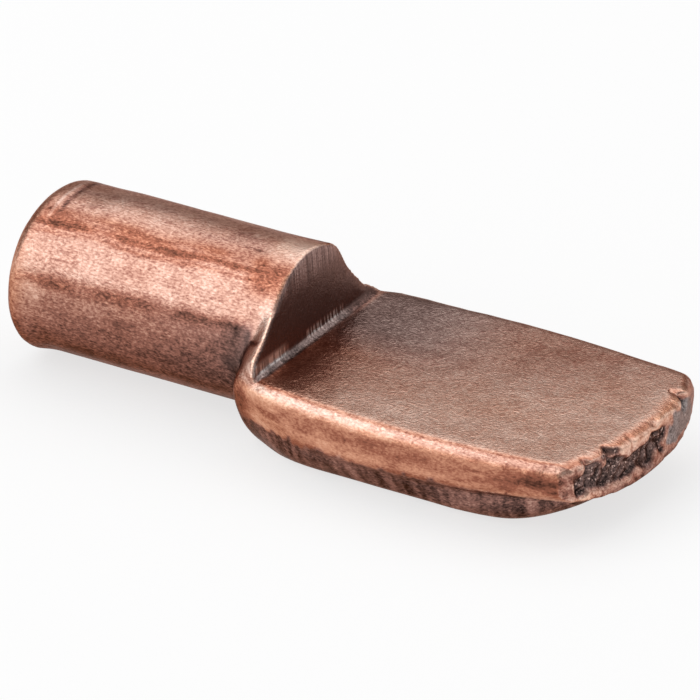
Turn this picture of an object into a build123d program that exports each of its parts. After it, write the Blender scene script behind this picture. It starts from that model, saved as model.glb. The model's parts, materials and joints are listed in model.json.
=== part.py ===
from build123d import *

import os

# Shelf support pin of the spoon kind, pressed in one piece from round wire.
# A round pin goes into a hole in the cabinet's side. The other end of the wire is squeezed into a paddle:
# a flat seat for the shelf on top, a rounded rim around it and a boat-shaped belly underneath.
# X points out of the cabinet's side, Z is up, and the origin is on the pin's axis at the shoulder.
# Lengths are in millimetres and angles in degrees.

# Pin that goes into the hole, with an end that was cropped a little out of square
PIN_DIAMETER = 4.95
PIN_LENGTH = 8.12
PIN_END_ROUND = 0.6
PIN_END_SLANT_ANGLE = 4.5

# Neck and step between the pin and the seat
COLLAR_LENGTH = 0.9
STEP_DRAFT_ANGLE = 4
STEP_COVE = 0.2
ARCH_CROWN_ANGLE = 108
ROOT_CROWN_ANGLE = 140

# Paddle, seen from above
SEAT_DROP = 0.085
PADDLE_LENGTH = 11.75
PADDLE_WIDTH = 7.96
WIDEST_DISTANCE = 7.4
REAR_INSET = 0.53
FRONT_INSET = 0.46
FRONT_BOW = 0.65

# Rim of the paddle: its underside is crowned and sweeps up towards the front
REAR_THICKNESS = 2.36
FRONT_THICKNESS = 1.49
CROWN_RADIUS = 12.0
RIM_TOP_ROUND = 0.4
RIM_FOOT_ROUND = 0.52

# Belly under the paddle
BELLY_DEPTH = 2.545
BELLY_INSET = 0.48
BELLY_EDGE_ROUND = 1.0
BELLY_RUN = 8.1
BELLY_BOW_LENGTH = 3.35
BELLY_BOW_RISE = 0.95

# Round stern, where the paddle swells out of the pin behind a shoulder
SHOULDER_HEIGHT = 0.775
STERN_ROUND = 0.5
STERN_LENGTH = 5.5
STERN_END_CLEARANCE = 0.32

# Overrun of every cutting tool
OVERRUN = 1.0

# Values worked out from the sizes above
pin_radius = PIN_DIAMETER / 2
paddle_y = PADDLE_WIDTH / 2
seat_z = -SEAT_DROP
neck_foot_z = seat_z - RIM_TOP_ROUND
keel_z = seat_z - BELLY_DEPTH
neck_end = COLLAR_LENGTH + STEP_COVE


def climbing_radius(run, rise):
    """Radius of an arc that sets out level and climbs by its rise over its run."""
    return (run ** 2 + rise ** 2) / (2 * rise)


def pin():
    """Plain round shank, cropped at a slant and rounded over at the cropped end."""
    shank = extrude(Plane.YZ * Circle(pin_radius), -(PIN_LENGTH + OVERRUN))
    crop_height = PIN_DIAMETER + OVERRUN
    crop = Box(PIN_LENGTH, crop_height, crop_height, align=(Align.MAX, Align.CENTER, Align.CENTER))
    shank -= Pos(-PIN_LENGTH, 0, 0) * Rot(0, PIN_END_SLANT_ANGLE, 0) * crop
    return fillet(shank.edges().sort_by(Axis.X)[0], PIN_END_ROUND)


def pin_half_width(z):
    """Half the pin's width at a height above its axis."""
    return (pin_radius ** 2 - z ** 2) ** 0.5


def crown_spring(crown_angle):
    """Point where the round crown ends, on the side of positive Y."""
    return Vector(0, pin_radius).rotate(Axis.Z, -crown_angle / 2)


def neck_section(x, crown_angle, foot_y, toe_y, side):
    """Section of the neck: round crown, flanks down to the seat's level, and feet that stand in the rim."""
    spring = crown_spring(crown_angle)
    crown = ThreePointArc((-spring.X, spring.Y), (0, pin_radius), (spring.X, spring.Y))
    right_flank = side((spring.X, spring.Y), (foot_y, seat_z))
    right_foot = side((foot_y, seat_z), (toe_y, neck_foot_z))
    base = Line((toe_y, neck_foot_z), (-toe_y, neck_foot_z))
    left_foot = side((-toe_y, neck_foot_z), (-foot_y, seat_z))
    left_flank = side((-foot_y, seat_z), (-spring.X, spring.Y))
    return Plane.YZ.offset(x) * make_face([crown, right_flank, right_foot, base, left_foot, left_flank])


def punch():
    """Tool that squeezes the wire: its flat sole makes the seat, and its rear wall the drafted step."""
    heel = Vector(COLLAR_LENGTH, seat_z)
    wall_top = heel + Vector(0, PIN_DIAMETER).rotate(Axis.Z, STEP_DRAFT_ANGLE)
    toe = Vector(PADDLE_LENGTH + OVERRUN, seat_z)
    toe_top = Vector(toe.X, wall_top.Y)
    side_view = make_face(Polyline(heel, toe, toe_top, wall_top, close=True))
    heel_corner = side_view.vertices().sort_by_distance(heel)[0]
    side_view = fillet(heel_corner, STEP_COVE)
    return extrude(Plane.XZ * side_view, PADDLE_WIDTH, both=True)


def neck():
    """Flare from the round pin to the arch of the step, with the punch's mark cut into it."""
    root_y = pin_half_width(seat_z)
    root_toe_y = pin_half_width(neck_foot_z)
    root = neck_section(0, ROOT_CROWN_ANGLE, root_y, root_toe_y, lambda a, b: RadiusArc(a, b, pin_radius))
    # the arch's straight flanks leave its crown at a tangent
    spring = crown_spring(ARCH_CROWN_ANGLE)
    arch_y = (pin_radius ** 2 - seat_z * spring.Y) / spring.X
    arch = neck_section(neck_end, ARCH_CROWN_ANGLE, arch_y, arch_y, Line)
    return loft([root, arch], ruled=True) - punch()


def plate():
    """Flat part of the paddle: convex sides with rounded edges, bowed front and crowned underside."""
    rear_y = paddle_y - REAR_INSET
    front_y = paddle_y - FRONT_INSET
    front_x = PADDLE_LENGTH - FRONT_BOW
    rear = Line((0, rear_y), (0, -rear_y))
    near = ThreePointArc((0, -rear_y), (WIDEST_DISTANCE, -paddle_y), (front_x, -front_y))
    front = ThreePointArc((front_x, -front_y), (PADDLE_LENGTH, 0), (front_x, front_y))
    far = ThreePointArc((front_x, front_y), (WIDEST_DISTANCE, paddle_y), (0, rear_y))
    outline = make_face([rear, near, front, far])
    blank = extrude(Plane.XY.offset(seat_z) * outline, -(REAR_THICKNESS + OVERRUN))

    lowest_z = seat_z - REAR_THICKNESS
    sweep_radius = climbing_radius(PADDLE_LENGTH, REAR_THICKNESS - FRONT_THICKNESS)
    crown = Plane.YZ * Pos(0, lowest_z + CROWN_RADIUS) * Circle(CROWN_RADIUS)
    sweep_axis = Axis((0, 0, lowest_z + sweep_radius), (0, 1, 0))
    body = blank & revolve(crown, sweep_axis, 360)

    top_edges = body.faces().sort_by(Axis.Z)[-1].edges().sort_by(Axis.Y)
    body = fillet([top_edges[0], top_edges[-1]], RIM_TOP_ROUND)
    foot_edges = body.faces().sort_by(Axis.Z)[0].edges().sort_by(Axis.Y)
    # the wall is lowest at the front corners, and has to hold both rounds
    crown_rise = CROWN_RADIUS - (CROWN_RADIUS ** 2 - front_y ** 2) ** 0.5
    corner_wall = FRONT_THICKNESS - crown_rise
    foot_round = min(RIM_FOOT_ROUND, corner_wall - RIM_TOP_ROUND)
    return fillet([foot_edges[0], foot_edges[-1]], foot_round)


def belly():
    """Boat-shaped belly: flat keel, rounded bilge and a bow that sweeps up to the front."""
    half_width = paddle_y - BELLY_INSET
    bow_x = BELLY_RUN + BELLY_BOW_LENGTH
    bow_z = keel_z + BELLY_BOW_RISE
    rear = Line((0, half_width), (0, -half_width))
    near = Line((0, -half_width), (BELLY_RUN, -half_width))
    bow = EllipticalCenterArc((BELLY_RUN, 0), BELLY_BOW_LENGTH, half_width, start_angle=-90, arc_size=180)
    far = Line((BELLY_RUN, half_width), (0, half_width))
    outline = make_face([rear, near, bow, far])
    hull = extrude(Plane.XY.offset(neck_foot_z) * outline, keel_z - neck_foot_z)

    sweep_radius = climbing_radius(BELLY_BOW_LENGTH, BELLY_BOW_RISE)
    sweep = RadiusArc((BELLY_RUN, keel_z), (bow_x, bow_z), -sweep_radius)
    tip = Line((bow_x, bow_z), (bow_x, seat_z))
    deck = Line((bow_x, seat_z), (0, seat_z))
    stem = Line((0, seat_z), (0, keel_z))
    keel = Line((0, keel_z), (BELLY_RUN, keel_z))
    side_view = make_face([sweep, tip, deck, stem, keel])
    hull = hull & extrude(Plane.XZ * side_view, PADDLE_WIDTH, both=True)

    underside = hull.faces().filter_by(lambda face: face.normal_at().Z < -0.5)
    bilge = underside.edges().filter_by(Axis.Y, reverse=True)
    return fillet(bilge, BELLY_EDGE_ROUND)


def stern():
    """Envelope of the swelling behind the seat: a rounded disc around the pin that opens to the front."""
    start_r = pin_radius + SHOULDER_HEIGHT
    end_r = paddle_y + STERN_END_CLEARANCE
    far_x = PADDLE_LENGTH + OVERRUN
    swell_radius = climbing_radius(STERN_LENGTH, end_r - start_r)
    face = Line((0, 0), (0, start_r))
    swell = RadiusArc((0, start_r), (STERN_LENGTH, end_r), swell_radius)
    side = Line((STERN_LENGTH, end_r), (far_x, end_r))
    end = Line((far_x, end_r), (far_x, 0))
    axis = Line((far_x, 0), (0, 0))
    profile = make_face([face, swell, side, end, axis])
    corner = profile.vertices().sort_by_distance((0, start_r))[0]
    disc = revolve(Plane.XZ * fillet(corner, STERN_ROUND), Axis.X, 360)
    body = split(disc, bisect_by=Plane.XY.offset(seat_z), keep=Keep.BOTTOM)
    top_edges = body.faces().sort_by(Axis.Z)[-1].edges().sort_by(Axis.X)
    return fillet(top_edges[:-1], RIM_TOP_ROUND)


def paddle():
    """Plate and belly in one, trimmed by the round stern."""
    return (plate() + belly()) & stern()


shelf_support_pin = pin() + neck() + paddle()

os.makedirs("parts", exist_ok=True)
export_step(shelf_support_pin, "parts/shelf_support_pin.step")
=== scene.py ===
import itertools
import json
import math

import bmesh
import bpy
import numpy as np
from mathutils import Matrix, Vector
from mathutils.bvhtree import BVHTree

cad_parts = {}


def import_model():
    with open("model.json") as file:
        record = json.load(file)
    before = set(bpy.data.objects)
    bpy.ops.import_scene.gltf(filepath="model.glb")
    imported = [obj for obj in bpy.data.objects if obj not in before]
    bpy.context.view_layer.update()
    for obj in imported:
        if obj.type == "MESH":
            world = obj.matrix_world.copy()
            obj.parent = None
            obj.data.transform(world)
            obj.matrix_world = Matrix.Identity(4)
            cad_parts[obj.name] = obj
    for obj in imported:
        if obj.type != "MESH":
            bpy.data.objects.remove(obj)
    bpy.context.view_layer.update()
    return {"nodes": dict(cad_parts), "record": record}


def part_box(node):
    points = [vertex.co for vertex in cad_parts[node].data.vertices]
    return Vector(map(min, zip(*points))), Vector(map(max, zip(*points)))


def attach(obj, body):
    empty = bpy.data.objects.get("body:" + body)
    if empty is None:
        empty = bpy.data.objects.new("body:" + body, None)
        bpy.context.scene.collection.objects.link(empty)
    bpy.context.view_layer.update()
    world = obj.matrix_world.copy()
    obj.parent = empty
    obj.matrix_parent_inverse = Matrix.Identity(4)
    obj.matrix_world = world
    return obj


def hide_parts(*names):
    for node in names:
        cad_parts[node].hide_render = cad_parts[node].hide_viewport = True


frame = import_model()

# Looks of the shelf support pin: one piece of antique copper, sculpted from the CAD solid.
# X points out of the cabinet's side, Z is up, and the pin's axis is the X axis.
# The near side is the side of negative Y, which the photograph shows. Angles around the pin are counted
# from its top, and are positive on the near side.
# Lengths are in millimetres and angles in degrees; the finished mesh and the stage are in metres.

PER_METRE = 1000
RIGHT_ANGLE = 90
NODE = "shelf_support_pin"
SLOT = "antique_copper"
PIECE = "pressed_copper_pin"

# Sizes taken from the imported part
low, high = (np.array(corner) * PER_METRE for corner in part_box(NODE))
mounts = {mount["name"]: mount for mount in frame["record"]["mounts"]}
pin_radius = mounts["pin"]["dims"]["r_mm"]
seat_z = mounts["shelf_seat"]["pos_m"][2] * PER_METRE
front_x = high[0]
floor_z = low[2]

# Step between the pin and the seat
STEP_X = 0.9
STEP_SLOPE_SHARE = 0.07
STEP_YAW_SHARE = 0.033
STEP_REACH = 0.7
STEP_YAW_HEIGHT = (-0.6, -0.1)

# Front of the paddle
FRONT_BOW = 0.65
FRONT_HALF_WIDTH = 3.52

# Fine mesh that is sculpted, and the places where it is finer
VOXEL = 0.1
MERGE_DISTANCE = 0.0005
FINE_FRONT = 1.1
FINE_STEP = (-0.2, 1.5)
FINE_STEP_LOW = -0.2
FINE_END = -6.9

# Rounds of smoothing, and of the test of how sharply the surface bends
EASE_ROUNDS = 2
NECK_EASE_ROUNDS = 10
ARCH_EASE_ROUNDS = 4
CREASE_EASE_ROUNDS = 30
BEND_ROUNDS = 8
BEND_SHARE = 0.25

# Flare of the neck at the step: angle, radius at the wall, and where along X it leaves the pin
NEAR_FLARE = ((30, 2.45, 0.6), (45, 2.46, 0.55), (59, 2.57, 0.5), (73.5, 2.86, 0.4),
              (80, 3.17, 0.25), (83, 3.32, 0.15), (90, 3.43, 0.02), (99, 3.43, 0.02))
FAR_FLARE = ((-80, 2.56, 0.4), (-86, 2.95, 0.3), (-92, 3.4, 0.2), (-99, 3.4, 0.2))
FLARE_CORE_RADIUS = 1.4
FLARE_SECTIONS = 9

# Far flank of the neck, drawn in
FAR_PINCH_SHARE = 0.09
FAR_PINCH_ANGLE = -58
FAR_PINCH_REACH = 31
FAR_PINCH_ALONG = (-0.2, 0.75)
FAR_PINCH_END = (1.3, 1.1)

# Parts of the neck that are smoothed
NECK_EASE_ALONG = (-0.4, 0.62, 0.2)
NECK_EASE_HEIGHT = (-0.9, -0.4)
NECK_EASE_ANGLE = (35, 55)
ARCH_EASE_ALONG = (0.45, 1.0, 0.08)
ARCH_EASE_HEIGHT = (0.1, 0.35)

# Far rim, fuller than the solid: start, end and fade along X, and how far it stands out
FAR_RIM_PLACES = ((0.3, 2.6, 1.1, 0.16), (9.9, 12.5, 1.1, 0.12))
FAR_RIM_FACING = (0.1, 0.6)

# Crease between the rim and the belly, filled at the rear
CREASE_DEPTH = (-1.35, -1.7)
CREASE_START = (0.2, 0.6)
CREASE_END = (9.5, 6.5)
CREASE_SIDE = (2.6, 3.0)

# Bilge of the belly, a little fuller than the solid
BILGE_FACING = (0.3, 0.65)
BILGE_DEPTH = (-1.5, -1.9)
BILGE_ALONG = (1.6, 8.0, 0.9)
BILGE_FULLNESS = 0.09

# Front lip, bent down along its middle and rounded over at the far corner
LIP_HEIGHT = (-0.85, -0.12)
LIP_ALONG = (-3.3, 2.3, 0.4)
LIP_DROOP = 0.13
LIP_DROOP_CHANGE = 0.06
LIP_LUMP = 0.8
LIP_REACH = 0.5
CORNER_ALONG = (2.75, 4.5, 0.25)
CORNER_ROUND = 0.3
CHIP_GRAINS = (0.22, 0.1)
CHIP_LEVEL = (0.0, 0.7)
CHIP_DEPTH = 0.07
CHIP_REACH = (0.22, 0.0)

# Torn face under the lip: its span along Y and its height, each with a fade, and its ragged outline
FRONT_FACING = (0.25, 0.6)
FRONT_DEPTH = (0.5, 0.25)
TEAR_ALONG = (-2.95, 0.95, 0.06)
TEAR_HEIGHT = (-1.06, -0.37, 0.06)
TEAR_LEAN = 0.22
TEAR_LEAN_ALONG = (-0.4, 0.7)
TEAR_GRAINS = (0.5, 0.2, 0.1)
TEAR_RAGGED = 0.26
TEAR_DEPTH = 0.13
TEAR_ROUGH = 0.07
SMOOTH_ALONG = (1.2, 2.95, 0.07)
SMOOTH_HEIGHT = (-1.2, -0.4, 0.06)
SMOOTH_RAGGED_SHARE = 0.5

# Nicks in the front edge: place along Y, half width and depth of each
NICK_HEIGHT = (-0.75, -0.35)
NICK_REACH = (0.5, 0.15)
NICKS = ((-1.72, 0.16, 0.24), (2.3, 0.26, 0.26), (-2.62, 0.1, 0.14), (-0.7, 0.1, 0.09))
NICK_RAGGED_SHARE = 0.25

# Near corner of the front, cut back, and the far end, which stands out
NEAR_CORNER = (-3.2, -3.5)
NEAR_CORNER_REACH = (0.9, 0.3)
NEAR_CORNER_CUT = 0.14
FRONT_SWELL_ALONG = (1.3, 3.2, 0.4)
FRONT_SWELL = 0.07

# Draw lines along the pin: angle, half width and depth of each
DRAW_LINES = ((36, 6, 0.008), (72, 8, 0.01), (-50, 6, 0.008), (-98, 8, 0.01), (140, 8, 0.01))
DRAW_LINE_LUMP = 2.0
DRAW_LINE_WANDER = 2

# Burr, groove, dip and swellings by the pin's end
BURR_X = -7.22
BURR_REACH = 0.07
BURR_ANGLES = (-25, 37, 8)
BURR_HEIGHT = 0.022
GROOVE_X = -7.0
GROOVE_REACH = 0.14
GROOVE_ANGLES = (-28, 25, 10)
GROOVE_DEPTH = 0.02
DIP_ALONG = (-9.0, -6.0, 0.6)
DIP_ANGLE_REACH = 55
DIP_DEPTH = 0.07
END_SWELL_ALONG = (-7.3, -7.9)
END_SWELL_ANGLE = (15, 70)
END_SWELL = 0.045
LOW_SWELL_X = -7.65
LOW_SWELL_REACH = 0.7
LOW_SWELL_ANGLE = 132
LOW_SWELL_ANGLE_REACH = 50
LOW_SWELL = 0.09

# Pits in the pin: place along X, angle, half length, half width and depth of each
PITS = ((-0.6, 13.6, 0.22, 0.09, 0.06), (-5.82, 58, 0.1, 0.07, 0.04), (-7.35, 25, 0.09, 0.08, 0.03),
        (-3.6, -30, 0.2, 0.1, 0.05))

# Waves along the pin, and where all its marks end
PIN_MARK_END = (-0.1, -0.6)
PIN_WAVE_GRAIN = (2.5, 0.5, 0.5)
PIN_WAVE = 0.012

# Dents all over: pattern, grain and depth of each
DENTS = (("dents", 1.6, 0.008), ("small dents", 0.5, 0.005))
DENT_SINK = 0.006

# Zones of the finish come below. A ramp has a start and an end, a bell a middle and a reach,
# and a span a start, an end and a fade.

# Finish all over
# Painted shade on surfaces that face down
UNDER_SHADE_SLOPE = (0.25, -0.45)
CLOUD_GRAINS = (1.4, 0.5)
FLECK_GRAIN = 0.18
EDGE_BEND = (3.0, 9.0)
HOLLOW_BEND = (-2.0, -7.0)
EDGE_FRONT = (1.0, 0.6)
PIN_ZONE = (0.1, -0.3)
PAST_STEP = (0.2, 0.6)

# Finish on the pin
LOW_PIN_SHADE_ANGLE = (66, 80)
COLLAR_SHADE_ALONG = (-0.95, 0.3)
COLLAR_SHADE_END = (0.42, 0.15)
COLLAR_SHADE_RADIUS = (2.9, 2.6)
COLLAR_SHADE_WANDER = 0.3
COLLAR_SHADE_GRAIN = (0.5, 0.3, 0.3)
COLLAR_SHADE_ANGLE = (64, 76)
COLLAR_SHADE_FADE = (170, 95)
COLLAR_GLOOM_ALONG = (-4.0, -0.5)
TOP_ANGLE_REACH = 34
TOP_PATCH_GRAIN = (0.7, 0.3, 0.3)
TOP_PATCH_LEVEL = (0.0, 0.6)

# Streaks along the pin, which wobble and turn a little: kind, angle and half width of each
# The top edge shade streak is painted shade along the pin's far top outline.
STREAKS = (("core", 34.5, 4.5), ("core", 41, 2), ("glow", 30, 16), ("low", 73.5, 9),
           ("top edge shade", -28, 15), ("far", -60, 6), ("far", -98, 9), ("far", 128, 9), ("far", 165, 9),
           ("far", -140, 9))
STREAK_END = (-8.0, -6.8)
STREAK_GRAIN = (0.9, 0.2, 0.2)
STREAK_TURN = -0.7
STREAK_TURN_FROM = -4.5
WOBBLE_GRAINS = ((1.8, 1.0, 1.0), (0.5, 0.2, 0.2))
WOBBLES = (2.5, 1.2)

# Finish at the pin's end
END_FACING = (0.45, 0.8)
END_FACE_ZONE = (-6.0, -7.0)
SHEAR_GRAIN = (2.0, 0.12, 1.6)
BREAK_GRAIN = (2.0, 0.7, 0.7)
BREAK_HEIGHT = (0.2, -0.5)
BREAK_WANDER = 0.5
END_EDGE = (-7.85, -8.15)
END_TINT = (-7.2, -7.8)
END_LOW = (-6.2, -7.4)
END_LOW_ANGLE = 88
END_LOW_REACH = 45

# Finish at the step
FLANK_ALONG = (-0.3, 0.9, 0.4)
FLANK_HEIGHT = (-0.4, 0.2)
FLANK_ANGLE = (22, 46, 9)
CROWN_ALONG = (-0.3, 0.9, 0.3)
CROWN_ANGLE_REACH = 26
CRACK_ALONG = (0.30, 0.72, 0.06)
CRACK_SLOPE_SHARE = 0.45
CRACK_X = 0.6
CRACK_HEIGHT = 0.66
CRACK_REACH = 0.08
CRACK_SIDE = (-2.3, -2.5)
WALL_FACING = (0.6, 0.85)
WALL_X = 0.85
WALL_REACH = 0.55
WALL_FOOT = (-0.15, 0.0)
WALL_LIT = (1.35, 2.15)
RIB_HEIGHT = (0.0, 0.24, 0.06)
NEAR_RIB_HEIGHT = (0.0, 0.33, 0.07)
NEAR_RIB_ALONG = (-3.4, -1.6, 0.25)
RIB_ALONG = (-0.6, 1.5, 0.3)
# The cove's grey is partly a painted reflection.
COVE_FACING = (0.03, 0.14)
COVE_STEEP = (0.95, 0.85)
COVE_ALONG = (0.8, 1.25, 0.05)
COVE_TOP = (0.2, 0.12)
COVE_SIDE = (3.4, 3.2)
COVE_FAR = (2.0, 1.4)
COVE_GRAIN = (0.6, 0.3, 0.6)

# Finish on the seat
SEAT_SLOPE = (0.85, 0.97)
SEAT_START = (1.0, 1.2)
SEAT_REAR = (4.5, 1.3)
SEAT_GREY_SIDE = (-1.0, 1.5)
SEAT_GREY_REAR = (6.5, 2.0)
SEAT_LIGHT = (4.0, 10.0)
SEAT_LIGHT_LEAN = 1.4

# Finish on the rim and the stern
RIM_SIDE_SLOPE = (0.75, 0.4)
RIM_SIDE_TOP = (-0.2, -0.4)
RIM_FLECK_GRAIN = (0.45, 0.13, 0.13)
RIM_SHADE_Z = -0.78
RIM_SHADE_REACH = 0.3
RIM_SHADE_GRAIN = (1.1, 0.15, 0.15)
RIM_SHADE_LEVEL = (-0.2, 0.5)
RIM_LOW_Z = -1.25
RIM_LOW_REACH = 0.42
RIM_HIGHLIGHT_SLOPE = (0.22, 0.86, 0.08)
RIM_HIGHLIGHT_FADE = (10.5, 4.0)
RIM_HIGHLIGHT_TOP = (-0.75, -0.5)
RIM_LINE_SLOPE = 0.93
RIM_LINE_REACH = 0.09
RIM_LINE_START = (0.9, 1.2)
RIM_LINE_TOP = (-0.4, -0.2)
REAR_CORNER_END = (3.0, 0.8)
STERN_ALONG = (1.1, 0.5)
STERN_TOP = (-0.1, -0.3)
STERN_RADIUS = (2.55, 2.8)
FOOT_LINE_Z = -1.25
FOOT_LINE_REACH = 0.18
FOOT_LINE_START = (8.3, 9.6)
FOOT_LINE_SIDE = (2.0, 2.6)
SIDE_END_ALONG = (9.9, 11.05, 0.3)
SIDE_END_HEIGHT = (-0.85, -0.45, 0.15)
SIDE_END_SIDE = (3.2, 3.4)

# Fringe below the rim, and the hatching under it
FRINGE_Z = -1.47
FRINGE_FALL_SHARE = -0.015
FRINGE_GRAIN = (0.13, 0.6, 4.0)
FRINGE_WANDER = 0.26
FRINGE_FADE = (0.05, -0.1)
HATCH_GRAIN = (0.10, 0.5, 2.0)

# Finish at the front
BLOTCH_GRAINS = (0.3, 0.13)
SCRATCH_GRAIN = (1.0, 0.12, 0.6)
FRONT_PIT_GRAIN = 0.14
FRONT_PIT_LEVEL = (0.0, 0.5)
NICK_SHADE_Y = 2.3
NICK_SHADE_REACH = 0.32
NICK_SHADE_Z = -0.36
NICK_SHADE_DEPTH = 0.18
LIP_HIGHLIGHT_REACH = (0.28, 0.03)
LIP_HIGHLIGHT_TOP = (-0.6, -0.3)
LIP_HIGHLIGHT_ALONG = (-1.6, 2.5, 0.6)

# Shares of tarnish and painted shade, orange and grey that each zone adds
ADDED_SHARES = {
    "cloud": (0.09, 0.16, 0), "fleck": (0.05, 0, 0), "under": (0.22, 0.05, 0), "edge": (-0.22, 0.35, 0),
    "front edge": (-0.18, 0.1, 0), "hollow": (0.28, 0, 0),
    "low pin shade": (0.11, 0.25, 0), "collar shade": (0.38, 0, 0.25), "collar gloom": (0.07, 0, 0.1),
    "top patch": (0.06, 0.1, 0.1), "pit": (0.42, 0, 0),
    "core": (0.24, 0.5, 0), "glow": (0.21, 1, 0), "low": (0.28, 0.5, 0), "top edge shade": (0.13, 0.45, 0),
    "far": (0.12, 0.3, 0),
    "burr": (-0.16, -0.2, 0.1), "groove shade": (0.34, 0, 0.1), "end edge": (0.15, 0.1, 0),
    "end tint": (0.03, 0.4, 0), "end low light": (-0.17, 0.1, 0), "shear": (0.04, 0, 0),
    "break": (0.09, -0.1, 0.3),
    "flank": (0.28, 0.9, 0), "crown": (-0.34, 0.1, 0), "crack": (0.5, 0, 0),
    "wall lit": (-0.15, -0.2, 0.1), "near ribs": (-0.30, -0.2, 0.65),
    "seat": (-0.03, -0.1, 0), "seat rear shade": (0.10, 0.35, -0.1), "seat grey": (0.12, -0.1, 0.6),
    "seat light": (-0.19, 0.12, 0),
    "rim side": (0.02, 0.9, 0), "rim fleck": (0.15, 0.1, 0), "rim shade": (0.12, 0.3, 0),
    "rim low": (-0.18, 0.1, 0), "rim highlight": (-0.17, -0.15, 0), "rim line": (0.24, 0.6, 0),
    "rear corner": (-0.26, 0.05, 0), "stern": (0.16, 0.6, 0), "foot line": (-0.22, 0.5, 0),
    "side end": (0.24, 0.5, 0), "below": (0.14, 0.1, 0.15), "hatch": (0.22, 0, 0),
    "front pit": (0.22, 0.15, 0), "nick": (0.6, 0, 0), "lip highlight": (-0.29, 0.35, -0.1),
}

# Shares of tarnish and painted shade, orange and grey that cover what lies under them
COVER_SHARES = {
    "base": (0.37, 0.2, 0), "wall": (0.83, 0.2, 0.35), "cove": (0.66, 0, 0.6),
    "far cove": (0.80, 0.2, 0.3),
    "torn": (0.83, 0.3, 0.4), "smooth": (0.65, 0, 0.85),
}
BLOTCH_SHARE = 0.10
COVE_BLOTCH_SHARE = 0.14
STREAK_PATCH_SHARES = (0.75, 0.45)
NEAR_GLOSS_SHARE = 0.5
FAR_SHADE_SHARE = 0.4

# Camera of the photograph
CAMERA_AZIMUTH = 32.16
CAMERA_ELEVATION = 26.21
CAMERA_DISTANCE = 250
CAMERA_LENS = 458
CAMERA_SENSOR = 36
CAMERA_NEAR = 10
AIM_RIGHT = 0.9545
AIM_UP = -0.515

# Studio
FLOOR_SIZE = 2000
FLOOR_COLOR = (0.93, 0.93, 0.93, 1)
FLOOR_LIFT_SHARE = 0.7
WORLD_COLOR = (0.32, 0.32, 0.32, 1)

# Square lamps: name, direction, size and radiance of each
LAMP_DISTANCE = 300
LAMPS = (
    ("key", (-0.48, -0.645, 0.60), 400, 1.36),
    ("top", (-0.25, 0.3, 0.9), 360, 1.06),
    ("fill", (0.6, 0.5, 0.62), 300, 0.7),
)

# Grain of the finish, its detail, and how much each grain changes the tarnish and painted shade
FINE_DETAIL = 2
FIBRE_GRAIN = (0.11, 0.05, 0.05)
FIBRE_SHARE = 0.75
HAIR_GRAIN = 0.30
HAIR_DETAIL = 3
HAIR_DISTORTION = 2.5
HAIR_SHARE = 0.5
LINE_GRAIN = (2.5, 0.07, 0.07)
LINE_SHARE = 0.25
STROKE_GRAIN = (5, 0.06, 5)
STROKE_SHARE = 0.9
RIB_GRAIN = (5, 0.11, 5)
RIB_LEVEL_SHARE = 0.52
RIB_SHARE = -0.42
SPECK_GRAIN = 0.085
SPECK_DETAIL = 1
SPECK_LEVEL_SHARE = 0.66
SPECK_SHARE = -0.45
CALM_SHARE = -0.75
SIDE_CALM_SHARE = 0.4
ROUGHNESS_SHARE = 0.34
ROUGH_FIBRE_SHARE = 0.25
GLOSS_SHARE = -0.12
BUMP_DEPTH = 0.012
BUMP_SHARE = 0.7
HAIR_BUMP_SHARE = 1.5

# Colours of the finish, from bright copper to the darkest tarnish and shade, each with its share of
# tarnish and shade
FINISH_COLORS = (
    (0.00, (0.93, 0.70, 0.60, 1)),
    (0.30, (0.64, 0.390, 0.312, 1)),
    (0.55, (0.35, 0.163, 0.128, 1)),
    (0.80, (0.13, 0.064, 0.053, 1)),
    (1.00, (0.030, 0.017, 0.016, 1)),
)
ORANGE_TINT = (1.0, 0.76, 0.60, 1)
GRAZING_TINT = (0.64, 0.48, 0.43, 1)
GREY_SATURATION_SHARE = 0.18

# Places of the colour sockets among all those of a mix node
MIX_INPUTS = (0, 6, 7)
MIX_OUTPUT = 2

# Middle of a pattern from 0 to 1, and the weight of a finer pattern beside a coarse one
MIDDLE_SHARE = 0.5
FINER_SHARE = 0.5

# Numbers that shuffle the lattice of the noise
HASH_FACTORS = np.array((73856093, 19349663, 83492791), dtype=np.uint32)
HASH_MIXER = np.uint32(0x45D9F3B)
HASH_SHIFT = np.uint32(16)
HASH_STEP = 7919
HASH_ROUNDS = 2
HASH_TOP = 0xFFFFFF

# Seed of each pattern of the noise
SEEDS = {
    "clouds": 1, "flecks": 3, "wobble": 4, "streaks": 5, "cove": 6, "fringe": 7, "hatch": 8,
    "blotches": 9, "lip": 11, "chips": 12, "tear": 13, "top patches": 15, "rim flecks": 17,
    "front pits": 18, "shear": 19, "break": 20, "draw lines": 21, "pin wave": 22, "rim shade": 23,
    "collar": 24, "scratches": 25, "dents": 31, "small dents": 32,
}


def hashed(cells, seed):
    """A fixed value from 0 to 1 for each cell of a lattice, the same in every run."""
    mixed = (cells.astype(np.uint32) * HASH_FACTORS).sum(axis=1, dtype=np.uint32)
    mixed = mixed + np.uint32(seed * HASH_STEP)
    for turn in range(HASH_ROUNDS):
        mixed = (mixed ^ (mixed >> HASH_SHIFT)) * HASH_MIXER
    mixed = mixed ^ (mixed >> HASH_SHIFT)
    return (mixed & HASH_TOP) / HASH_TOP


def noise(points, grain, pattern):
    """Smooth noise from -1 to 1, whose lumps are about a grain across."""
    places = points / np.array(grain)
    cells = np.floor(places).astype(np.int64)
    parts = places - cells
    parts = parts * parts * (3 - 2 * parts)
    total = np.zeros(len(points))
    for corner in itertools.product((0, 1), repeat=3):
        weight = np.prod(np.where(corner, parts, 1 - parts), axis=1)
        total += weight * hashed(cells + np.array(corner), SEEDS[pattern])
    return 2 * total - 1


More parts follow.
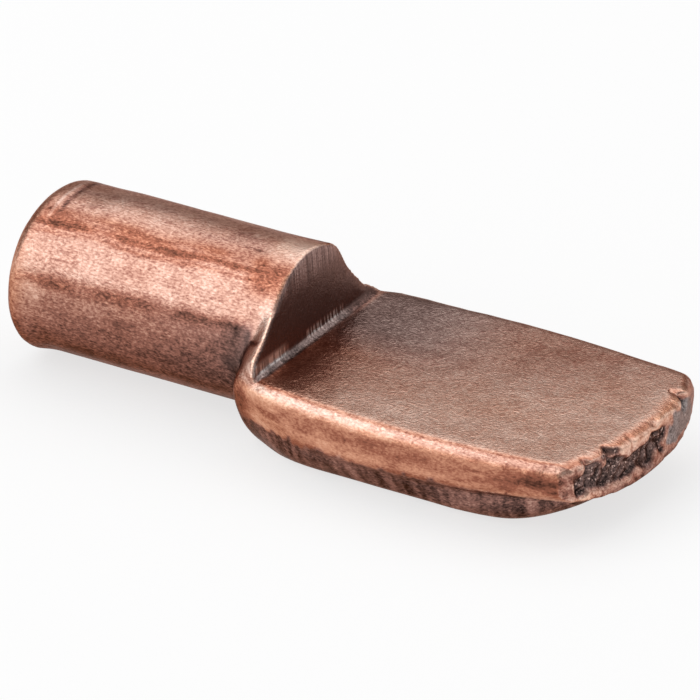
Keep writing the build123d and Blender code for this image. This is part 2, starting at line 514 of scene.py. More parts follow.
def ramp(values, start, end):
    """Smooth climb from 0 at the start to 1 at the end."""
    share = np.clip((values - start) / (end - start), 0, 1)
    return share * share * (3 - 2 * share)


def bell(values, middle, reach):
    """Smooth hump of height 1 around its middle, and 0 beyond its reach."""
    return 1 - ramp(np.abs(values - middle), 0, reach)


def span(values, start, end, fade):
    """1 between the start and the end, fading to 0 on both sides."""
    return ramp(values, start - fade, start + fade) * (1 - ramp(values, end - fade, end + fade))


def front_line(y):
    """Where the bowed front edge stands at a distance from the middle."""
    return front_x - FRONT_BOW * (y / FRONT_HALF_WIDTH) ** 2


def wall_x(z):
    """Where the step's leaning wall stands at a height."""
    return STEP_X - STEP_SLOPE_SHARE * (z - seat_z)


def add_flare(surface, profile):
    """Adds one side's flare of the neck: a closed body that swells from the pin out to the step's wall."""
    rings = []
    for section in range(FLARE_SECTIONS):
        share = section / (FLARE_SECTIONS - 1)
        outer, inner = [], []
        for angle, radius, start in profile:
            swell = pin_radius + (radius - pin_radius) * math.sin(share * math.pi / 2)
            turn = math.radians(angle)
            for reach, row in ((swell, outer), (FLARE_CORE_RADIUS, inner)):
                y, z = -reach * math.sin(turn), reach * math.cos(turn)
                x = start + (wall_x(z) - start) * share
                row.append(surface.verts.new((x, y, z)))
        rings.append(outer + inner[::-1])
    count = len(rings[0])
    for ring, next_ring in zip(rings, rings[1:]):
        for place in range(count):
            after = (place + 1) % count
            surface.faces.new((ring[place], ring[after], next_ring[after], next_ring[place]))
    surface.faces.new(rings[0][::-1])
    surface.faces.new(rings[-1])


class Skin:
    """Fine mesh over the CAD solid, as arrays that are sculpted and painted."""

    def __init__(self, node):
        """Copies the node's surface, adds the flares, divides it evenly and lays it back on the solid."""
        surface = bmesh.new()
        surface.from_mesh(node.data)
        bmesh.ops.scale(surface, vec=(PER_METRE,) * 3, verts=surface.verts)
        bmesh.ops.remove_doubles(surface, verts=surface.verts, dist=MERGE_DISTANCE)
        for profile in (NEAR_FLARE, FAR_FLARE):
            add_flare(surface, profile)
        bmesh.ops.recalc_face_normals(surface, faces=surface.faces)
        tree = BVHTree.FromBMesh(surface)
        self.divide(surface)
        self.refine()
        self.points = np.empty((len(self.mesh.vertices), 3))
        self.mesh.vertices.foreach_get("co", self.points.ravel())
        self.edges = np.empty((len(self.mesh.edges), 2), dtype=np.int64)
        self.mesh.edges.foreach_get("vertices", self.edges.ravel())
        self.counts = np.bincount(self.edges.ravel(), minlength=len(self.points))
        self.points = np.array([tree.find_nearest(point)[0] for point in self.points])
        self.marks = {}

    def divide(self, surface):
        """Makes an even mesh from the surface."""
        rough = bpy.data.meshes.new("rough")
        surface.to_mesh(rough)
        surface.free()
        carrier = bpy.data.objects.new("carrier", rough)
        bpy.context.collection.objects.link(carrier)
        grid = carrier.modifiers.new("grid", "REMESH")
        grid.mode = "VOXEL"
        grid.voxel_size = VOXEL
        graph = bpy.context.evaluated_depsgraph_get()
        self.mesh = bpy.data.meshes.new_from_object(carrier.evaluated_get(graph))
        bpy.data.objects.remove(carrier)
        bpy.data.meshes.remove(rough)

    def refine(self):
        """Halves the faces at the front, the step and the pin's end, where the detail is."""
        fine = bmesh.new()
        fine.from_mesh(self.mesh)
        chosen = []
        for edge in fine.edges:
            middle = (edge.verts[0].co + edge.verts[1].co) / 2
            by_front = front_line(middle.y) - middle.x < FINE_FRONT
            by_step = FINE_STEP[0] < middle.x < FINE_STEP[1] and middle.z > FINE_STEP_LOW
            if by_front or by_step or middle.x < FINE_END:
                chosen.append(edge)
        bmesh.ops.subdivide_edges(fine, edges=chosen, cuts=1, use_grid_fill=True)
        fine.to_mesh(self.mesh)
        fine.free()

    def gathered(self, values):
        """The values of each edge, summed at both its ends."""
        count = len(self.points)
        return np.bincount(self.edges[:, 0], values, count) + np.bincount(self.edges[:, 1], values, count)

    def eased(self, values, rounds):
        """The values, each moved a few times to the mean of its neighbours."""
        ends, starts = self.edges.T
        for turn in range(rounds):
            columns = []
            for column in values.T:
                total = np.bincount(ends, column[starts], len(values))
                total += np.bincount(starts, column[ends], len(values))
                columns.append(total / self.counts)
            values = np.stack(columns, axis=1)
        return values

    def ease(self, mask, rounds):
        """Smooths the surface where a mask says so."""
        self.points = self.points + (self.eased(self.points, rounds) - self.points) * mask[:, None]

    def normals(self):
        """Outward directions of the surface as it is now."""
        self.mesh.vertices.foreach_set("co", self.points.ravel())
        self.mesh.update()
        normals = np.empty((len(self.points), 3))
        self.mesh.vertex_normals.foreach_get("vector", normals.ravel())
        return normals

    def bend(self):
        """How sharply the surface bends, per millimetre: above 0 on edges, below 0 in hollows."""
        proud = np.sum((self.points - self.eased(self.points, BEND_ROUNDS)) * self.normals(), axis=1)
        lengths = np.linalg.norm(self.points[self.edges[:, 0]] - self.points[self.edges[:, 1]], axis=1)
        spacing = self.gathered(lengths) / self.counts
        return proud / (BEND_ROUNDS * BEND_SHARE * spacing ** 2)

    def around(self):
        """Angle around the pin's axis, counted from the top, positive on the near side."""
        return np.degrees(np.arctan2(-self.points[:, 1], self.points[:, 2]))

    def from_front(self):
        """How far each point lies behind the bowed front edge."""
        return front_line(self.points[:, 1]) - self.points[:, 0]

    def paint(self, name, values):
        """Stores a value for each point, for the material to read."""
        layer = self.mesh.attributes.new(name, "FLOAT", "POINT")
        layer.data.foreach_set("value", np.clip(values, 0, 1).astype(np.float32))


def sculpt_neck(skin):
    """Eases the flares into the pin, draws in the far flank, wears the arch's edge and turns the step."""
    x, y, z = skin.points.T
    mask = span(x, *NECK_EASE_ALONG) * ramp(z, *NECK_EASE_HEIGHT)
    mask = mask * ramp(np.abs(skin.around()), *NECK_EASE_ANGLE)
    skin.ease(mask, NECK_EASE_ROUNDS)
    x, y, z = skin.points.T
    pinch = FAR_PINCH_SHARE * bell(skin.around(), FAR_PINCH_ANGLE, FAR_PINCH_REACH)
    pinch = pinch * ramp(x, *FAR_PINCH_ALONG) * ramp(x, *FAR_PINCH_END)
    skin.points[:, 1:] *= (1 - pinch)[:, None]
    skin.ease(span(x, *ARCH_EASE_ALONG) * ramp(z, *ARCH_EASE_HEIGHT), ARCH_EASE_ROUNDS)
    x, y, z = skin.points.T
    skin.points[:, 0] -= STEP_YAW_SHARE * y * bell(x, STEP_X, STEP_REACH) * ramp(z, *STEP_YAW_HEIGHT)


def sculpt_rim(skin):
    """Fills out the far rim, the rear of the crease under the rim, and the bilge."""
    x, y, z = skin.points.T
    facing = ramp(skin.normals()[:, 1], *FAR_RIM_FACING)
    for start, end, fade, reach in FAR_RIM_PLACES:
        skin.points[:, 1] += reach * facing * span(x, start, end, fade)
    x, y, z = skin.points.T
    mask = ramp(z, *CREASE_DEPTH) * ramp(x, *CREASE_START)
    mask = mask * ramp(x, *CREASE_END) * ramp(np.abs(y), *CREASE_SIDE)
    skin.ease(mask, CREASE_EASE_ROUNDS)
    x, y, z = skin.points.T
    normals = skin.normals()
    bilge = ramp(-normals[:, 2], *BILGE_FACING) * ramp(np.abs(normals[:, 1]), *BILGE_FACING)
    bilge = bilge * ramp(z, *BILGE_DEPTH) * span(x, *BILGE_ALONG)
    skin.points += normals * (BILGE_FULLNESS * bilge)[:, None]


def sculpt_lip(skin):
    """Bends the front lip down, rounds it over at the far corner and chips its edge."""
    x, y, z = skin.points.T
    behind = skin.from_front()
    top = ramp(z, *LIP_HEIGHT)
    along = np.stack([np.zeros_like(y), y, np.zeros_like(y)], axis=1)
    droop = (LIP_DROOP + LIP_DROOP_CHANGE * noise(along, LIP_LUMP, "lip")) * span(y, *LIP_ALONG)
    droop = droop * np.clip(1 - behind / LIP_REACH, 0, 1) ** 2
    inward = np.clip(CORNER_ROUND - behind, 0, CORNER_ROUND)
    droop += span(y, *CORNER_ALONG) * (CORNER_ROUND - np.sqrt(CORNER_ROUND ** 2 - inward ** 2))
    coarse, fine = (noise(skin.points, grain, "chips") for grain in CHIP_GRAINS)
    chips = ramp(coarse + FINER_SHARE * fine, *CHIP_LEVEL) * ramp(behind, *CHIP_REACH)
    droop += CHIP_DEPTH * chips * span(y, *LIP_ALONG)
    skin.points[:, 2] -= droop * top


def sculpt_tear(skin):
    """Torn face under the lip, a smooth end to it, and nicks in the edge."""
    x, y, z = skin.points.T
    behind = skin.from_front()
    facing = ramp(skin.normals()[:, 0], *FRONT_FACING) * ramp(behind, *FRONT_DEPTH)
    flat = np.stack([np.zeros_like(y), y, z], axis=1)
    wide, middle, fine = (noise(flat, grain, "tear") for grain in TEAR_GRAINS)
    ragged = TEAR_RAGGED * (wide + FINER_SHARE * middle)
    lean = TEAR_LEAN * ramp(y, *TEAR_LEAN_ALONG)
    torn = facing * span(y + ragged, *TEAR_ALONG) * span(z + ragged + lean, *TEAR_HEIGHT)
    smooth = facing * span(y + ragged, *SMOOTH_ALONG)
    smooth = smooth * span(z + SMOOTH_RAGGED_SHARE * ragged, *SMOOTH_HEIGHT)
    cut = torn * (TEAR_DEPTH + TEAR_ROUGH * (middle + fine))
    for place, width, depth in NICKS:
        nick = bell(y + NICK_RAGGED_SHARE * ragged, place, width)
        cut += depth * nick * ramp(z, *NICK_HEIGHT) * ramp(behind, *NICK_REACH)
    cut += NEAR_CORNER_CUT * ramp(y, *NEAR_CORNER) * ramp(behind, *NEAR_CORNER_REACH)
    cut -= FRONT_SWELL * facing * span(y, *FRONT_SWELL_ALONG)
    skin.points[:, 0] -= cut
    skin.marks["torn"] = torn
    skin.marks["smooth"] = smooth
    skin.marks["facing"] = facing


def pit_mask(skin, place, angle, length, width):
    """Where a pit lies on the pin."""
    offset = np.radians(skin.around() - angle) * pin_radius
    reach = np.hypot((skin.points[:, 0] - place) / length, offset / width)
    return 1 - ramp(reach, 0, 1)


def sculpt_pin(skin):
    """Marks on the pin: pits, draw lines, a dip and a burr around its end."""
    x = skin.points[:, 0]
    around = skin.around()
    sink = PIN_WAVE * noise(skin.points, PIN_WAVE_GRAIN, "pin wave")
    wander = DRAW_LINE_WANDER * noise(skin.points, DRAW_LINE_LUMP, "draw lines")
    for angle, width, depth in DRAW_LINES:
        sink += depth * bell(around + wander, angle, width)
    sink -= BURR_HEIGHT * bell(x, BURR_X, BURR_REACH) * span(around, *BURR_ANGLES)
    sink += GROOVE_DEPTH * bell(x, GROOVE_X, GROOVE_REACH) * span(around, *GROOVE_ANGLES)
    sink += DIP_DEPTH * span(x, *DIP_ALONG) * bell(around, 0, DIP_ANGLE_REACH)
    sink -= END_SWELL * ramp(x, *END_SWELL_ALONG) * ramp(np.abs(around), *END_SWELL_ANGLE)
    low_bump = bell(x, LOW_SWELL_X, LOW_SWELL_REACH)
    sink -= LOW_SWELL * low_bump * bell(around, LOW_SWELL_ANGLE, LOW_SWELL_ANGLE_REACH)
    for place, angle, length, width, depth in PITS:
        sink += depth * pit_mask(skin, place, angle, length, width)
    sink = sink * ramp(x, *PIN_MARK_END)
    skin.points[:, 1:] *= (1 - sink / pin_radius)[:, None]


def sculpt_dents(skin):
    """Small dents all over."""
    rise = -DENT_SINK
    for pattern, grain, depth in DENTS:
        rise = rise + depth * noise(skin.points, grain, pattern)
    skin.points += skin.normals() * rise[:, None]


def sculpt(skin):
    """Shapes what the solid leaves out, all within the solid's box."""
    for shape in (sculpt_neck, sculpt_rim, sculpt_lip, sculpt_tear, sculpt_pin, sculpt_dents):
        shape(skin)
    skin.points = skin.eased(skin.points, EASE_ROUNDS)
    skin.points = np.clip(skin.points, low, high)


class Coat:
    """Layers of the finish on a skin: tarnish and painted shade, orange and grey."""

    def __init__(self, skin):
        """Starts with no layers, and works out the zones that several paints need."""
        self.skin = skin
        self.normals = skin.normals()
        self.around = skin.around()
        self.layers = np.zeros((len(skin.points), 3))
        self.x, self.y, self.z = skin.points.T
        self.upward = self.normals[:, 2]
        self.end_face = ramp(-self.normals[:, 0], *END_FACING) * ramp(self.x, *END_FACE_ZONE)
        self.on_pin = ramp(self.x, *PIN_ZONE)
        self.on_shank = self.on_pin * (1 - self.end_face)
        self.past_step = ramp(self.x, *PAST_STEP)

    def add(self, name, mask):
        """Adds a zone's shares where its mask says so."""
        self.layers += np.outer(mask, ADDED_SHARES[name])

    def cover(self, name, mask, tarnish_and_shade=0):
        """Lays a zone's shares over what is there, with a change of the tarnish and painted shade."""
        goal = np.zeros_like(self.layers) + COVER_SHARES[name]
        goal[:, 0] += tarnish_and_shade
        self.layers += (goal - self.layers) * mask[:, None]

    def noise(self, grain, pattern):
        """Noise at the skin's points."""
        return noise(self.skin.points, grain, pattern)


def paint_ground(coat):
    """Even copper with clouds, and painted shade underneath."""
    coat.cover("base", np.ones(len(coat.x)))
    wide, small = (coat.noise(grain, "clouds") for grain in CLOUD_GRAINS)
    coat.add("cloud", (wide + small) / 2)
    coat.add("fleck", coat.noise(FLECK_GRAIN, "flecks"))
    # Painted shade: darker where the surface faces down.
    coat.add("under", ramp(coat.upward, *UNDER_SHADE_SLOPE))


def paint_pin(coat):
    """Streaks along the pin, patches on its top, and painted shade below and by the collar."""
    side = np.abs(coat.around)
    # Painted shade on the pin's lower side.
    coat.add("low pin shade", coat.on_shank * ramp(side, *LOW_PIN_SHADE_ANGLE))
    # Painted shade on the pin beside the collar, where the collar shades it; weaker on the far side.
    shade = ramp(side, *COLLAR_SHADE_ANGLE) * ramp(side, *COLLAR_SHADE_FADE)
    shade = shade * (FAR_SHADE_SHARE + (1 - FAR_SHADE_SHARE) * (coat.around > 0))
    shade = shade * ramp(coat.x, *COLLAR_SHADE_END) * ramp(np.hypot(coat.y, coat.z), *COLLAR_SHADE_RADIUS)
    shade_x = coat.x + COLLAR_SHADE_WANDER * coat.noise(COLLAR_SHADE_GRAIN, "collar")
    coat.skin.marks["shade"] = shade * ramp(shade_x, *COLLAR_SHADE_ALONG)
    coat.add("collar shade", coat.skin.marks["shade"])
    coat.add("collar gloom", shade * ramp(coat.x, *COLLAR_GLOOM_ALONG))
    angle = coat.around - STREAK_TURN * (coat.x - STREAK_TURN_FROM)
    for size, grain in zip(WOBBLES, WOBBLE_GRAINS):
        angle = angle + size * coat.noise(grain, "wobble")
    mean, change = STREAK_PATCH_SHARES
    patchy = coat.on_shank * ramp(coat.x, *STREAK_END)
    patchy = patchy * (mean + change * coat.noise(STREAK_GRAIN, "streaks"))
    # Streaks along the pin; the top edge shade streak is painted shade on the far top outline.
    for name, middle, width in STREAKS:
        coat.add(name, patchy * bell(angle, middle, width))
    patch = ramp(coat.noise(TOP_PATCH_GRAIN, "top patches"), *TOP_PATCH_LEVEL)
    coat.add("top patch", coat.on_shank * patch * bell(coat.around, 0, TOP_ANGLE_REACH))
    for place, middle, length, width, depth in PITS:
        coat.add("pit", pit_mask(coat.skin, place, middle, length, width))


def paint_end(coat):
    """Worn burr with a painted highlight and painted shade in the groove behind it, an orange edge,
    painted light low on the end, and the sheared face with its rough lower part.
    """
    coat.add("shear", coat.end_face * coat.noise(SHEAR_GRAIN, "shear"))
    break_z = coat.z + BREAK_WANDER * coat.noise(BREAK_GRAIN, "break")
    coat.add("break", coat.end_face * ramp(break_z, *BREAK_HEIGHT))
    # Painted highlight on the worn burr, and painted shade in the groove behind it.
    coat.add("burr", bell(coat.x, BURR_X, BURR_REACH) * span(coat.around, *BURR_ANGLES))
    coat.add("groove shade", bell(coat.x, GROOVE_X, GROOVE_REACH) * span(coat.around, *GROOVE_ANGLES))
    coat.add("end edge", ramp(coat.x, *END_EDGE))
    coat.add("end tint", ramp(coat.x, *END_TINT))
    # Painted light on the lower part of the end, where it is lit.
    coat.add("end low light", ramp(coat.x, *END_LOW) * bell(coat.around, END_LOW_ANGLE, END_LOW_REACH))


def paint_seat(coat):
    """Seat: dark red painted reflection of the wall by the step, grey at the far rear, painted light
    towards the front.
    """
    seat = ramp(coat.upward, *SEAT_SLOPE) * ramp(coat.x, *SEAT_START)
    rear = ramp(coat.x, *SEAT_REAR)
    coat.add("seat", seat)
    # Painted reflection of the dark wall on the seat by the step.
    coat.add("seat rear shade", seat * rear)
    coat.add("seat grey", seat * ramp(coat.x, *SEAT_GREY_REAR) * ramp(coat.y, *SEAT_GREY_SIDE))
    # Painted light, growing towards the front and the near side.
    coat.add("seat light", seat * ramp(coat.x - SEAT_LIGHT_LEAN * coat.y, *SEAT_LIGHT))
    coat.skin.paint("gloss", seat * (NEAR_GLOSS_SHARE + (1 - NEAR_GLOSS_SHARE) * rear))


def paint_rim(coat):
    """Orange side under a painted highlight on the round edge, with a dark fringe below."""
    fringe = FRINGE_Z - FRINGE_FALL_SHARE * coat.x + FRINGE_WANDER * coat.noise(FRINGE_GRAIN, "fringe")
    below = coat.past_step * ramp(coat.z - fringe, *FRINGE_FADE)
    side = coat.past_step * ramp(np.abs(coat.upward), *RIM_SIDE_SLOPE) * ramp(coat.z, *RIM_SIDE_TOP)
    side = side * (1 - below) * (1 - coat.skin.marks["facing"])
    coat.add("rim side", side)
    coat.skin.marks["side"] = side
    # Painted highlight on the rim's round top edge, fading towards the front.
    band = span(coat.upward, *RIM_HIGHLIGHT_SLOPE) * ramp(coat.z, *RIM_HIGHLIGHT_TOP)
    coat.add("rim highlight", coat.past_step * band * ramp(coat.x, *RIM_HIGHLIGHT_FADE))
    stern = ramp(coat.x, *STERN_ALONG) * ramp(np.hypot(coat.y, coat.z), *STERN_RADIUS)
    coat.add("stern", stern * ramp(coat.z, *STERN_TOP))
    coat.add("rear corner", side * ramp(coat.x, *REAR_CORNER_END) * (1 - stern))
    coat.add("rim fleck", side * coat.noise(RIM_FLECK_GRAIN, "rim flecks"))
    shade = bell(coat.z, RIM_SHADE_Z, RIM_SHADE_REACH)
    shade = shade * ramp(coat.noise(RIM_SHADE_GRAIN, "rim shade"), *RIM_SHADE_LEVEL)
    coat.add("rim shade", side * shade)
    low_side = coat.past_step * bell(coat.z, RIM_LOW_Z, RIM_LOW_REACH) * (1 - below)
    coat.add("rim low", low_side * (1 - coat.skin.marks["facing"]))
    coat.add("below", below)
    coat.add("hatch", below * coat.noise(HATCH_GRAIN, "hatch"))
    line = bell(coat.upward, RIM_LINE_SLOPE, RIM_LINE_REACH)
    coat.add("rim line", line * ramp(coat.x, *RIM_LINE_START) * ramp(coat.z, *RIM_LINE_TOP))
    foot = bell(coat.z, FOOT_LINE_Z, FOOT_LINE_REACH) * ramp(coat.x, *FOOT_LINE_START)
    coat.add("foot line", foot * ramp(np.abs(coat.y), *FOOT_LINE_SIDE))
    side_end = span(coat.x, *SIDE_END_ALONG) * span(coat.z, *SIDE_END_HEIGHT)
    coat.add("side end", side_end * ramp(-coat.y, *SIDE_END_SIDE))


def paint_front(coat):
    """Torn dark face, its smooth grey end, the nick and a painted highlight on the bent lip."""
    behind = coat.skin.from_front()
    marks = coat.skin.marks
    wide, small = (coat.noise(grain, "blotches") for grain in BLOTCH_GRAINS)
    # Painted highlight along the bent lip.
    glow = ramp(behind, *LIP_HIGHLIGHT_REACH) * ramp(coat.z, *LIP_HIGHLIGHT_TOP) * span(coat.y, *LIP_HIGHLIGHT_ALONG)
    coat.add("lip highlight", glow * (1 - marks["torn"]) * (1 - marks["smooth"]))
    pitted = ramp(coat.noise(FRONT_PIT_GRAIN, "front pits"), *FRONT_PIT_LEVEL)
    coat.add("front pit", marks["facing"] * pitted)
    coat.cover("torn", marks["torn"], BLOTCH_SHARE * (wide + small))
    coat.cover("smooth", marks["smooth"], BLOTCH_SHARE * coat.noise(SCRATCH_GRAIN, "scratches"))
    nick = bell(coat.y, NICK_SHADE_Y, NICK_SHADE_REACH) * bell(coat.z, NICK_SHADE_Z, NICK_SHADE_DEPTH)
    coat.add("nick", nick * ramp(behind, *NICK_REACH))
    coat.skin.paint("grit", marks["torn"])


def paint_edges(coat):
    """Bright worn edges and dark hollows."""
    bend = coat.skin.bend()
    edge = ramp(bend, *EDGE_BEND)
    by_front = ramp(coat.skin.from_front(), *EDGE_FRONT)
    coat.add("edge", edge * (1 - by_front))
    coat.add("front edge", edge * by_front)
    coat.add("hollow", ramp(bend, *HOLLOW_BEND))


def paint_step(coat):
    """Wall dark with tarnish and painted shade, painted light and streaks on its top, a grey cove at its
    foot, ribs above that and an orange flank.
    """
    facing = coat.normals[:, 0]
    wall = ramp(facing, *WALL_FACING) * bell(coat.x, WALL_X, WALL_REACH) * ramp(coat.z, *WALL_FOOT)
    lit = ramp(coat.z, *WALL_LIT)
    flank = span(coat.x, *FLANK_ALONG) * ramp(coat.z, *FLANK_HEIGHT)
    flank = flank * span(np.abs(coat.around), *FLANK_ANGLE)
    coat.add("flank", flank * (1 - wall))
    coat.add("crown", span(coat.x, *CROWN_ALONG) * bell(coat.around, 0, CROWN_ANGLE_REACH) * (1 - wall))
    crack = bell(coat.z - CRACK_SLOPE_SHARE * (coat.x - CRACK_X), CRACK_HEIGHT, CRACK_REACH)
    coat.add("crack", crack * span(coat.x, *CRACK_ALONG) * ramp(coat.y, *CRACK_SIDE))
    # The wall is darkened with tarnish and painted shade, and its top is lifted with painted light.
    coat.cover("wall", wall)
    coat.add("wall lit", wall * lit)
    # The grey of the cove is partly a painted reflection.
    cove = ramp(facing, *COVE_FACING) * ramp(facing, *COVE_STEEP) * span(coat.x, *COVE_ALONG)
    cove = cove * ramp(coat.z, *COVE_TOP) * ramp(np.abs(coat.y), *COVE_SIDE)
    coat.cover("far cove", cove)
    coat.cover("cove", cove * ramp(coat.y, *COVE_FAR), COVE_BLOTCH_SHARE * coat.noise(COVE_GRAIN, "cove"))
    # Ribs: tool marks on the wall, painted lighter as their highlights.
    near_ribs = span(coat.y, *NEAR_RIB_ALONG)
    ribs = near_ribs + span(coat.y, *RIB_ALONG)
    coat.add("near ribs", wall * near_ribs * span(coat.z, *NEAR_RIB_HEIGHT))
    coat.skin.paint("ribs", wall * ribs * span(coat.z, *RIB_HEIGHT))
    coat.skin.paint("strokes", wall * lit)
    calm = np.maximum(coat.skin.marks["shade"], SIDE_CALM_SHARE * coat.skin.marks["side"])
    coat.skin.paint("calm", np.maximum(wall, calm))


def paint(skin):
    """Where the finish is bright, brown, orange, grey or torn."""
    coat = Coat(skin)
    places = (paint_pin, paint_end, paint_seat, paint_rim, paint_front)
    for layer in (paint_ground, *places, paint_edges, paint_step):
        layer(coat)
    skin.paint("pin", coat.on_pin)
    # The first layer is tarnish together with painted shade and painted highlights.
    for name, values in zip(("tarnish_and_shade", "orange", "grey"), coat.layers.T):
        skin.paint(name, values)


class Recipe:
    """Short ways to add and join a material's nodes."""

    def __init__(self, name):
        """Starts a material with a plain shader."""
        self.material = bpy.data.materials.new(name)
        self.material.use_nodes = True
        self.nodes = self.material.node_tree.nodes
        self.links = self.material.node_tree.links
        self.shader = self.nodes["Principled BSDF"]

    def put(self, socket, value):
        """Joins a socket to another node's output, or sets it to a plain value."""
        if isinstance(value, bpy.types.NodeSocket):
            self.links.new(value, socket)
        else:
            socket.default_value = value

    def attribute(self, name):
        """Value that was painted on the mesh."""
        node = self.nodes.new("ShaderNodeAttribute")
        node.attribute_name = name
        return node.outputs["Fac"]

    def math(self, operation, *values):
        """Arithmetic on one, two or three values."""
        node = self.nodes.new("ShaderNodeMath")
        node.operation = operation
        for socket, value in zip(node.inputs, values):
            self.put(socket, value)
        return node.outputs[0]

    def centred(self, value):
        """A pattern from 0 to 1, moved to lie around 0."""
        return self.math("SUBTRACT", value, MIDDLE_SHARE)

    def mix(self, blend, share, first, second):
        """Blend of two colours."""
        node = self.nodes.new("ShaderNodeMix")
        node.data_type = "RGBA"
        node.blend_type = blend
        for place, value in zip(MIX_INPUTS, (share, first, second)):
            self.put(node.inputs[place], value)
        return node.outputs[MIX_OUTPUT]

    def grain(self, size, detail=0, distortion=0):
        """Noise in the part's own space, whose lumps have a size along each axis."""
        place = self.nodes.new("ShaderNodeTexCoord")
        scale = self.nodes.new("ShaderNodeVectorMath")
        scale.operation = "MULTIPLY"
        sizes = size if isinstance(size, tuple) else (size,) * 3
        scale.inputs[1].default_value = [PER_METRE / one for one in sizes]
        self.links.new(place.outputs["Object"], scale.inputs[0])
        node = self.nodes.new("ShaderNodeTexNoise")
        node.inputs["Scale"].default_value = 1
        node.inputs["Detail"].default_value = detail
        node.inputs["Distortion"].default_value = distortion
        self.links.new(scale.outputs[0], node.inputs["Vector"])
        return node.outputs["Fac"]

    def ramp(self, value, stops):
        """Colours along a value."""
        node = self.nodes.new("ShaderNodeValToRGB")
        elements = node.color_ramp.elements
        while len(elements) < len(stops):
            elements.new(MIDDLE_SHARE)
        for element, (share, color) in zip(elements, stops):
            element.position = share
            element.color = color
        self.put(node.inputs["Fac"], value)
        return node.outputs["Color"]


def finish_material():
    """Antique copper: bright where it is worn or has painted highlights, brown where it is not worn or has
    painted shade.
    """
    recipe = Recipe(SLOT)
    fibres = recipe.centred(recipe.grain(FIBRE_GRAIN, FINE_DETAIL))
    hairs = recipe.centred(recipe.grain(HAIR_GRAIN, HAIR_DETAIL, HAIR_DISTORTION))
    lines = recipe.centred(recipe.grain(LINE_GRAIN, FINE_DETAIL))
    lines = recipe.math("MULTIPLY", lines, recipe.attribute("pin"))
    strokes = recipe.centred(recipe.grain(STROKE_GRAIN, FINE_DETAIL))
    strokes = recipe.math("MULTIPLY", strokes, recipe.attribute("strokes"))
    # Ribs: tool marks with painted highlights.
    ribs = recipe.math("GREATER_THAN", recipe.grain(RIB_GRAIN), RIB_LEVEL_SHARE)
    ribs = recipe.math("MULTIPLY", ribs, recipe.attribute("ribs"))
    specks = recipe.math("GREATER_THAN", recipe.grain(SPECK_GRAIN, SPECK_DETAIL), SPECK_LEVEL_SHARE)
    specks = recipe.math("MULTIPLY", specks, recipe.attribute("grit"))

    stir = recipe.math("MULTIPLY", hairs, HAIR_SHARE)
    stir = recipe.math("MULTIPLY_ADD", fibres, FIBRE_SHARE, stir)
    liveliness = recipe.math("MULTIPLY_ADD", recipe.attribute("calm"), CALM_SHARE, 1)
    stir = recipe.math("MULTIPLY", stir, liveliness)
    # This value is tarnish together with painted shade and painted highlights.
    tarnish_and_shade = recipe.math("ADD", recipe.attribute("tarnish_and_shade"), stir)
    patterns = ((lines, LINE_SHARE), (strokes, STROKE_SHARE), (ribs, RIB_SHARE), (specks, SPECK_SHARE))
    for pattern, share in patterns:
        tarnish_and_shade = recipe.math("MULTIPLY_ADD", pattern, share, tarnish_and_shade)
    color = recipe.ramp(tarnish_and_shade, FINISH_COLORS)
    color = recipe.mix("MULTIPLY", recipe.attribute("orange"), color, ORANGE_TINT)
    fade = recipe.nodes.new("ShaderNodeHueSaturation")
    grey = recipe.math("MAXIMUM", recipe.attribute("grey"), ribs)
    recipe.put(fade.inputs["Saturation"], recipe.math("MULTIPLY_ADD", grey, GREY_SATURATION_SHARE - 1, 1))
    recipe.put(fade.inputs["Color"], color)
    recipe.put(recipe.shader.inputs["Base Color"], fade.outputs["Color"])
    recipe.put(recipe.shader.inputs["Metallic"], 1)
    recipe.put(recipe.shader.inputs["Specular Tint"], GRAZING_TINT)
    rough = recipe.math("MULTIPLY_ADD", recipe.attribute("gloss"), GLOSS_SHARE, ROUGHNESS_SHARE)
    rough = recipe.math("MULTIPLY_ADD", fibres, ROUGH_FIBRE_SHARE, rough)
    recipe.put(recipe.shader.inputs["Roughness"], rough)

    bump = recipe.nodes.new("ShaderNodeBump")
    bump.inputs["Distance"].default_value = BUMP_DEPTH / PER_METRE
    bump.inputs["Strength"].default_value = BUMP_SHARE
    recipe.put(bump.inputs["Height"], recipe.math("MULTIPLY_ADD", hairs, HAIR_BUMP_SHARE, fibres))
    recipe.put(recipe.shader.inputs["Normal"], bump.outputs["Normal"])
    return recipe.material


def copper_pin():
    """The whole part, sculpted and painted, in place of the CAD solid."""
    skin = Skin(frame["nodes"][NODE])
    sculpt(skin)
    paint(skin)
    mesh = skin.mesh
    mesh.vertices.foreach_set("co", (skin.points / PER_METRE).ravel())
    mesh.update()
    mesh.name = PIECE
    mesh.materials.clear()
    mesh.materials.append(finish_material())
    mesh.shade_smooth()
    piece = bpy.data.objects.new(PIECE, mesh)
    bpy.context.collection.objects.link(piece)
    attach(piece, "root")
    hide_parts(NODE)


def camera_place():
    """Where the camera stands, in millimetres."""
    azimuth, elevation = math.radians(CAMERA_AZIMUTH), math.radians(CAMERA_ELEVATION)
    right = Vector((math.cos(azimuth), math.sin(azimuth), 0))
    back = Vector((math.cos(elevation) * right.y, -math.cos(elevation) * right.x, math.sin(elevation)))
    up = back.cross(right)
    aim = Vector((STEP_X, 0, 0)) + right * AIM_RIGHT + up * AIM_UP
    return aim + back * CAMERA_DISTANCE


def camera():
    """Camera at the photograph's viewing angle."""
    lens = bpy.data.cameras.new("camera")
    lens.sensor_width = CAMERA_SENSOR
    lens.lens = CAMERA_LENS
    lens.clip_start = CAMERA_NEAR / PER_METRE
    eye = bpy.data.objects.new("camera", lens)
    eye.location = camera_place() / PER_METRE
    eye.rotation_euler = (math.radians(RIGHT_ANGLE - CAMERA_ELEVATION), 0, math.radians(CAMERA_AZIMUTH))
    bpy.context.collection.objects.link(eye)
    bpy.context.scene.camera = eye


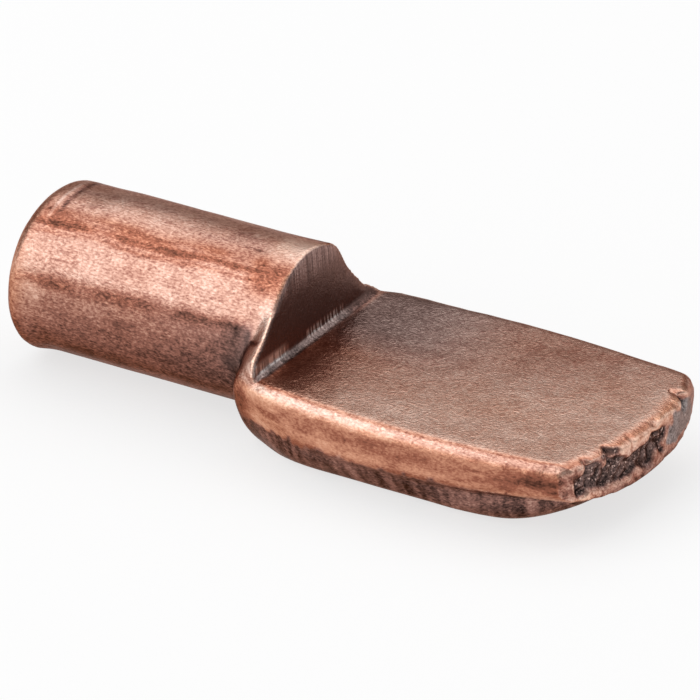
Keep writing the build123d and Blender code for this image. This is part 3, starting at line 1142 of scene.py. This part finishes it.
def softbox(name, direction, size, radiance):
    """Square lamp that faces the part."""
    lamp = bpy.data.lights.new(name, "AREA")
    lamp.size = size / PER_METRE
    lamp.energy = radiance * math.pi * lamp.size ** 2
    box = bpy.data.objects.new(name, lamp)
    box.location = Vector(direction).normalized() * LAMP_DISTANCE / PER_METRE
    box.rotation_euler = Vector(direction).to_track_quat("Z", "Y").to_euler()
    bpy.context.collection.objects.link(box)


def floor_material():
    """Matt white, lifted to the photograph's white where it is seen, and keeping its shadow."""
    recipe = Recipe("floor")
    recipe.put(recipe.shader.inputs["Base Color"], FLOOR_COLOR)
    recipe.put(recipe.shader.inputs["Roughness"], 1)
    recipe.put(recipe.shader.inputs["Specular IOR Level"], 0)
    glow = recipe.nodes.new("ShaderNodeEmission")
    path = recipe.nodes.new("ShaderNodeLightPath")
    seen = recipe.math("MAXIMUM", path.outputs["Is Camera Ray"], path.outputs["Is Glossy Ray"])
    seen = recipe.math("MAXIMUM", seen, path.outputs["Is Transmission Ray"])
    mix = recipe.nodes.new("ShaderNodeMixShader")
    recipe.put(mix.inputs[0], recipe.math("MULTIPLY", seen, FLOOR_LIFT_SHARE))
    recipe.put(mix.inputs[1], recipe.shader.outputs[0])
    recipe.put(mix.inputs[2], glow.outputs[0])
    recipe.put(recipe.nodes["Material Output"].inputs["Surface"], mix.outputs[0])
    return recipe.material


def floor():
    """Plain pale floor that the part lies on."""
    sheet = bmesh.new()
    bmesh.ops.create_grid(sheet, size=FLOOR_SIZE / PER_METRE / 2)
    mesh = bpy.data.meshes.new("floor")
    sheet.to_mesh(mesh)
    sheet.free()
    mesh.materials.append(floor_material())
    ground = bpy.data.objects.new("floor", mesh)
    ground.location.z = floor_z / PER_METRE
    bpy.context.collection.objects.link(ground)


def world():
    """Dim grey room around the part."""
    room = bpy.data.worlds.new("room")
    room.use_nodes = True
    room.node_tree.nodes["Background"].inputs["Color"].default_value = WORLD_COLOR
    bpy.context.scene.world = room


camera()
copper_pin()
floor()
world()
for lamp in LAMPS:
    softbox(*lamp)
bpy.context.scene.view_settings.view_transform = "Standard"
